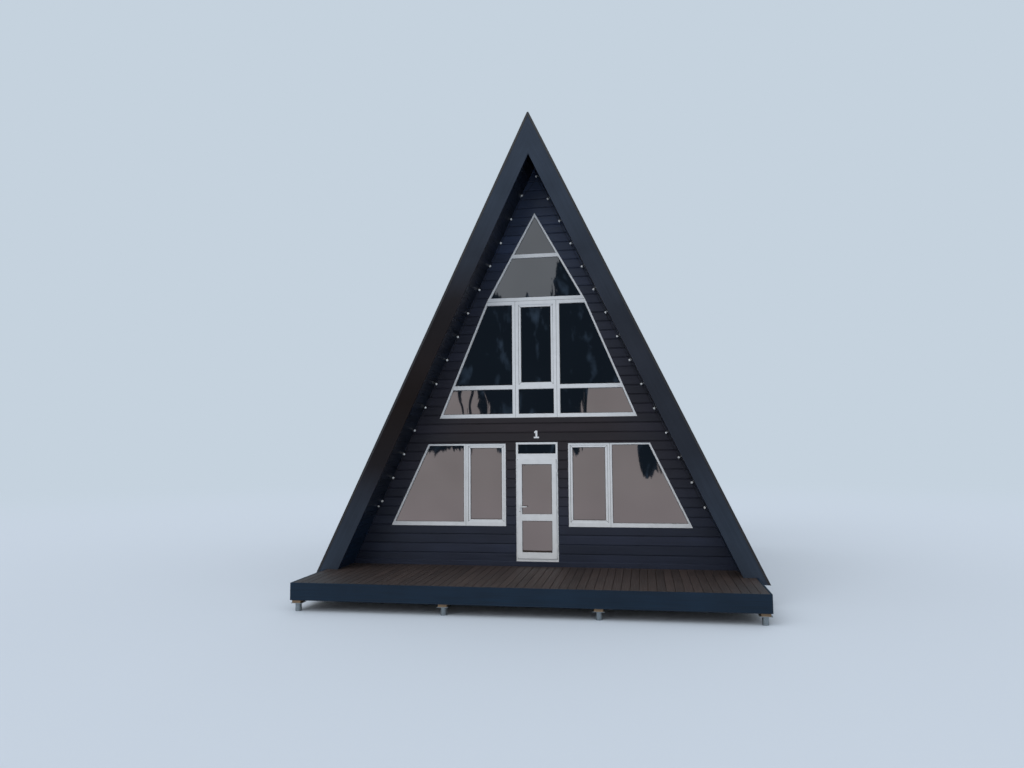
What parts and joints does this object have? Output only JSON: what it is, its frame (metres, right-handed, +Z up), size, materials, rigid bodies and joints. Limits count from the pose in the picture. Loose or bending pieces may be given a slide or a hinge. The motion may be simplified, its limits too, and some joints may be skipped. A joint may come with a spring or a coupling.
{
  "type": "a-frame cabin",
  "caption": "A-frame cabin on piles with a glazed gable, raking lower windows, a glazed door that opens outwards and a terrace in front.",
  "frame": {"origin": "middle of the plan's bounding box, on the ground", "axes": "+X to the right of someone facing the front, +Y from the terrace to the back, +Z up"},
  "size_m": [8.5326, 10.176, 9.376],
  "materials": {
    "galvanised_steel": "zinc coated",
    "sawn_timber": "rough sawn, oiled",
    "rim_stain": "dark stain",
    "deck_stain": "dark stain",
    "floor_boards": "planed",
    "wall_boards": "dark stain, satin",
    "roof_timber": "sawn",
    "soffit_stain": "dark stain, satin",
    "barge_stain": "dark stain, satin",
    "roof_metal": "matt coated sheet",
    "white_pvc": "satin white",
    "toned_glass": "toned, reflective",
    "white_metal": "satin white",
    "black_rubber": "matt",
    "lamp_plastic": "opal"
  },
  "bodies": {
    "cabin": {"piles": "galvanised_steel", "bearers": "sawn_timber", "cross_ties": "sawn_timber", "rim_boards_sides": "rim_stain", "rim_boards_ends": "rim_stain", "deck_boards": "deck_stain", "ground_floor": "floor_boards", "upper_floor": "floor_boards", "front_wall_left": "wall_boards", "front_wall_right": "wall_boards", "front_wall_over_door": "wall_boards", "front_gable_wall": "wall_boards", "back_wall": "wall_boards", "back_gable_wall": "wall_boards", "roof_slope_left": "roof_timber", "roof_slope_right": "roof_timber", "soffit_lining_left": "soffit_stain", "soffit_lining_right": "soffit_stain", "barge_boards_left": "barge_stain", "barge_boards_right": "barge_stain", "roof_covering_left": "roof_metal", "roof_covering_right": "roof_metal", "verge_trims_left": "roof_metal", "verge_trims_right": "roof_metal", "ridge_cap": "roof_metal", "gable_window_frame": "white_pvc", "gable_window_sash": "white_pvc", "lower_window_frame_left": "white_pvc", "lower_window_frame_right": "white_pvc", "lower_window_sash_left": "white_pvc", "lower_window_sash_right": "white_pvc", "back_window_frames": "white_pvc", "door_frame": "white_pvc", "house_number": "white_pvc", "gable_window_glass": "toned_glass", "lower_window_glass_left": "toned_glass", "lower_window_glass_right": "toned_glass", "back_window_glass": "toned_glass", "transom_glass": "toned_glass", "hinge_frame_halves": "white_metal", "festoon_cable": "black_rubber", "festoon_sockets": "black_rubber", "festoon_plug": "black_rubber", "festoon_bulbs": "lamp_plastic"},
    "front_door": {"door_leaf": "white_pvc", "door_glass": "toned_glass", "door_lower_pane": "toned_glass", "door_handles": "white_metal", "hinge_leaf_halves": "white_metal"}
  },
  "joints": [
    {"name": "front_door_hinge", "type": "hinge", "parent": "cabin", "child": "front_door", "pos_m": [0.4, -2.753, 1.6195], "axis": [0, 0, 1], "range_deg": [0, 110]}
  ]
}
